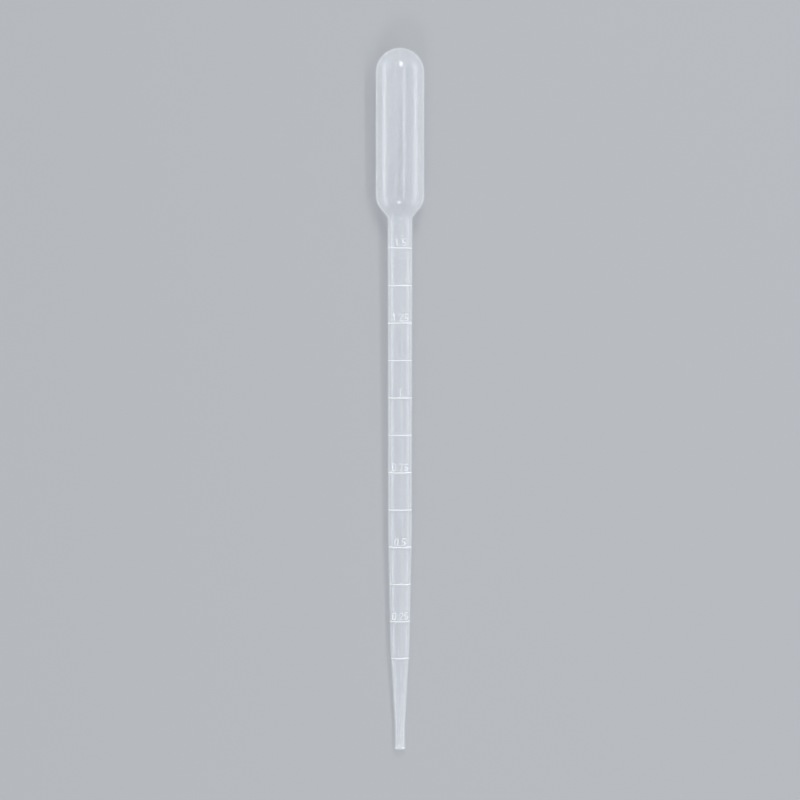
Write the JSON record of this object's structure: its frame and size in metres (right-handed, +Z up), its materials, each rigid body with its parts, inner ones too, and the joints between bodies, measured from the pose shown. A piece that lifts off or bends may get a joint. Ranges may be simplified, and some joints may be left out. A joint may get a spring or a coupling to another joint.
{
  "type": "dropper pipette",
  "caption": "Slim translucent plastic dropper pipette with a round-ended squeeze bulb, a graduated tapered stem and a fine open tip.",
  "frame": {"origin": "middle of the footprint, on the surface that the pipette lies on", "axes": "+Y towards the dome of the bulb, +Z up out of the graduated side, +X to the right of the numbers as they are read with the bulb up"},
  "size_m": [0.0112, 0.16, 0.0119],
  "materials": {
    "soft_polyethylene": "milky translucent low-density polyethylene with a soft satin gloss"
  },
  "bodies": {
    "root": {"pipette": "soft_polyethylene"}
  },
  "joints": []
}
